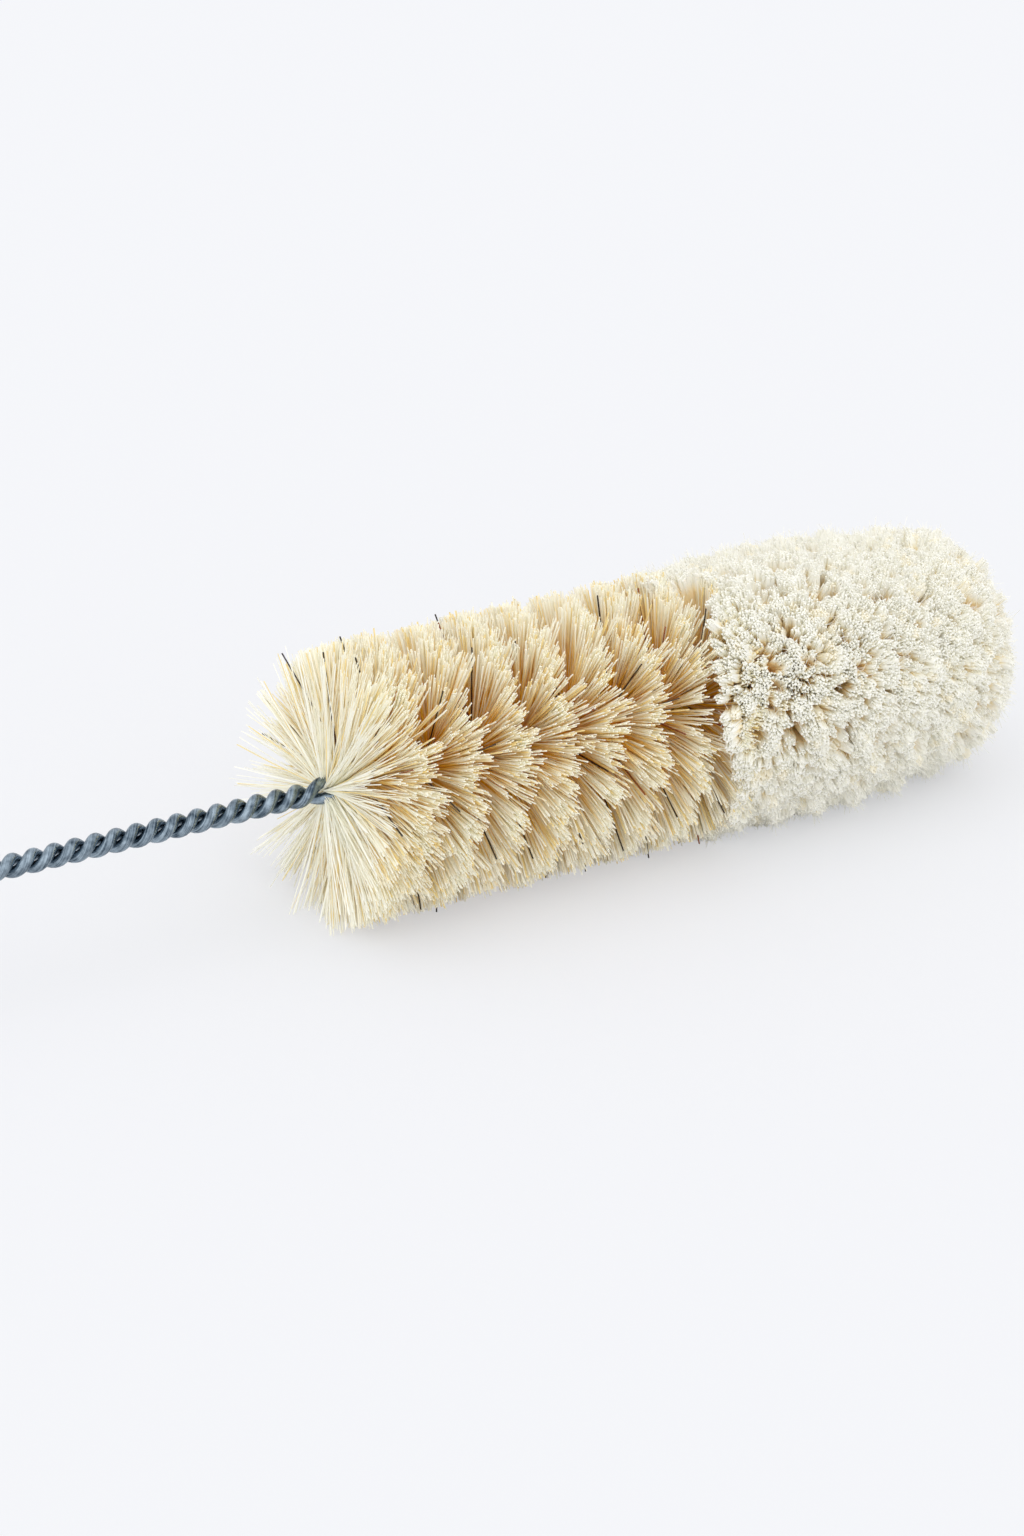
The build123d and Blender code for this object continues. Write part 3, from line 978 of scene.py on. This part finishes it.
rng = np.random.default_rng(FUZZ_SEED)
strand_lines = np.concatenate(cotton_paths)
fibres = int(FIBRES_PER_STRAND * len(strand_lines))
strand_end = strand_lines[rng.integers(0, len(strand_lines), fibres), -2:]
end_chord = strand_end[:, 1] - strand_end[:, 0]
fibre_start = strand_end[:, 0] + rng.uniform(*FIBRE_ROOTS, (fibres, 1)) * end_chord
fibre_heading = end_chord / np.linalg.norm(end_chord, axis=1, keepdims=True)
fibre_heading += rng.normal(0, FIBRE_TURN, (fibres, 3))
fibre_heading /= np.linalg.norm(fibre_heading, axis=1, keepdims=True)
fibre_reach = FIBRE_LENGTH * rng.uniform(*FIBRE_RANGE, (fibres, 1)) * fibre_heading
fibre_paths = fibre_start[:, None] + FIBRE_STATIONS[None, :, None] * fibre_reach[:, None]
fibre_paths = above_floor(fibre_paths, FIBRE_RADIUS)
fibre_radii = np.full((fibres, len(FIBRE_STATIONS), 1), FIBRE_RADIUS)
fibre_points = strand_surface(fibre_paths, fibre_radii, HAIR_SIDES, np.zeros(fibres))
fuzz = strand_piece("cotton_fuzz", fibre_points, FIBRE_STATIONS, rng.random(fibres), np.ones(fibres))
print(f"{fuzz.name}: {fibres} fibres")

# %% [markdown]
# ## Cotton finish
# Washed cotton is a soft, slightly warm white. Towards the roots of its strands it is painted tan, a
# painted shade for the hollows between the yarns. Its surface is all fibre, so it has no shine: high
# roughness, a little sheen for the nap, and a bump from the same lines along the strand that the wire
# uses, only fewer of them along it.

# %% Material of the cotton
cotton, tree, shader = new_material("soft_cotton")
yarn_colour = fill_colour(
    tree,
    {
        # Root is painted shade: the tan of the hollows between the yarns.
        "Root": paint(251, 231, 176),
        "Tip": paint(248, 247, 240),
        "Odd": paint(249, 245, 231),
        "Gold Until": 0.3,
        "Pale From": 0.9,
        "Shift": 0.15,
        "Spread": 0.03,
        "Odd Share": 0.08,
    },
)
nap = lines_along(tree, 3.5, 9.0)
bump = add_bump(tree, nap, 0.15 * MM)
dry = map_range(tree, nap, {"To Min": 0.8, "To Max": 1.0})
set_inputs(tree, shader, {"Base Color": yarn_colour, "Roughness": dry, "Normal": bump})
set_inputs(tree, shader, {"Sheen Weight": 0.25, "Specular IOR Level": 0.2})
for piece in (*cotton_pieces, fuzz):
    piece.data.materials.append(cotton)

# %% [markdown]
# ## Table
# The brush lies on a plain pale table. One large square is enough, because the camera sees no edge
# of it. A table that is only painted goes too grey in the shadow. So half of what it shows to the
# rays that look at it is its own pale tone, and the other half is paint, which keeps the shadow.
# The light that it throws back on the brush is the paint's alone.

# %% Table
FLOOR_SIZE = 6.0
TABLE_PAINT = paint(226, 227, 231)
PALE_TABLE = paint(246, 247, 250)
TABLE_GLOW = 0.5  # share of its own pale tone that the table shows


def seen_background(tree):
    """1 for the rays that look at a background: from the camera, from shiny metal or through glass."""
    ray = add_node(tree, "ShaderNodeLightPath").outputs
    direct = add_math(tree, "MAXIMUM", ray["Is Camera Ray"], ray["Is Glossy Ray"])
    return add_math(tree, "MAXIMUM", direct, ray["Is Transmission Ray"])


floor_mesh = bpy.data.meshes.new("table_top")
corners = FLOOR_SIZE / 2 * np.array([[-1, -1, 0], [1, -1, 0], [1, 1, 0], [-1, 1, 0]])
floor_mesh.from_pydata(corners.tolist(), [], [[0, 1, 2, 3]])
floor = bpy.data.objects.new("table_top", floor_mesh)
bpy.context.collection.objects.link(floor)

table_finish, tree, shader = new_material("pale_table")
set_inputs(tree, shader, {"Base Color": TABLE_PAINT, "Roughness": 0.9, "Specular IOR Level": 0.0})
glow = add_node(tree, "ShaderNodeEmission", {"Color": PALE_TABLE, "Strength": 1.0})
glow_share = add_math(tree, "MULTIPLY", seen_background(tree), TABLE_GLOW)
table = add_node(tree, "ShaderNodeMixShader", {0: glow_share, 1: shader.outputs[0], 2: glow.outputs[0]})
output = next(node for node in tree.nodes if node.type == "OUTPUT_MATERIAL")
tree.links.new(table.outputs[0], output.inputs["Surface"])
floor_mesh.materials.append(table_finish)
print(f"table {FLOOR_SIZE} m wide")

# %% [markdown]
# ## Light
# Small things are photographed in a light tent, whose walls send soft light from all sides. The
# world is the tent, and fills in from everywhere. A wide sun stands for its ceiling, because it
# lights the table evenly however large it is. The world that the camera and the metal see is as pale
# as the table, while the light that falls on the brush stays at a plain level. Light may bounce more
# often than Blender's defaults allow, because pale hair passes it on many times.

# %% World and lamp
PALE_ROOM = paint(247, 248, 251)
FILL_STRENGTH = 1.0
SUN_STRENGTH = 0.75
SUN_ANGLE = 1.9  # radians across, so its shadows are soft
SUN_TILT = (0.5, -0.3, 0.0)  # radians, from straight down
LIGHT_BOUNCES = 16

world = bpy.data.worlds.new("light_tent")
bpy.context.scene.world = world
world.use_nodes = True
tree = world.node_tree
tree.nodes.clear()
fill = add_node(tree, "ShaderNodeBackground", {"Color": (1.0, 1.0, 1.0, 1.0), "Strength": FILL_STRENGTH})
room = add_node(tree, "ShaderNodeBackground", {"Color": PALE_ROOM, "Strength": 1.0})
tent = {0: seen_background(tree), 1: fill.outputs[0], 2: room.outputs[0]}
both = add_node(tree, "ShaderNodeMixShader", tent)
add_node(tree, "ShaderNodeOutputWorld", {"Surface": both.outputs[0]})

lamp = bpy.data.lights.new("ceiling_light", "SUN")
lamp.energy = SUN_STRENGTH
lamp.angle = SUN_ANGLE
ceiling = bpy.data.objects.new("ceiling_light", lamp)
ceiling.rotation_euler = SUN_TILT
bpy.context.collection.objects.link(ceiling)
bpy.context.scene.view_settings.view_transform = "Standard"
bpy.context.scene.cycles.max_bounces = LIGHT_BOUNCES
bpy.context.scene.cycles.diffuse_bounces = LIGHT_BOUNCES
print(f"fill {FILL_STRENGTH}, ceiling light {SUN_STRENGTH}, {LIGHT_BOUNCES} bounces")

# %% [markdown]
# ## Camera
# The picture is taken from above the stem, on its left, with a long lens. The camera stands on a
# line from the point that it aims at, given by two angles and a distance, and looks back along it.
# The picture is 1024 by 1536 pixels, and the sensor's width goes with its longer side.

# %% Camera
CAMERA_AZIMUTH = np.radians(-29.6)
CAMERA_ELEVATION = np.radians(25.5)
CAMERA_DISTANCE = 0.845
CAMERA_LENS = 96.0  # millimetres, on a 36 mm sensor
CAMERA_NEAR = 0.01  # metres in front of the lens where the picture begins
CAMERA_TARGET = Vector((53.6 * MM, 0.0, 21.2 * MM))

camera_data = bpy.data.cameras.new("camera")
camera_data.lens = CAMERA_LENS
camera_data.clip_start = CAMERA_NEAR
camera = bpy.data.objects.new("camera", camera_data)
bpy.context.collection.objects.link(camera)
flat = np.cos(CAMERA_ELEVATION)
backward = Vector((np.sin(CAMERA_AZIMUTH) * flat, -np.cos(CAMERA_AZIMUTH) * flat, np.sin(CAMERA_ELEVATION)))
camera.location = CAMERA_TARGET + CAMERA_DISTANCE * backward
camera.rotation_euler = backward.to_track_quat("Z", "Y").to_euler()
bpy.context.scene.camera = camera
print("camera at", [round(x, 3) for x in camera.location])
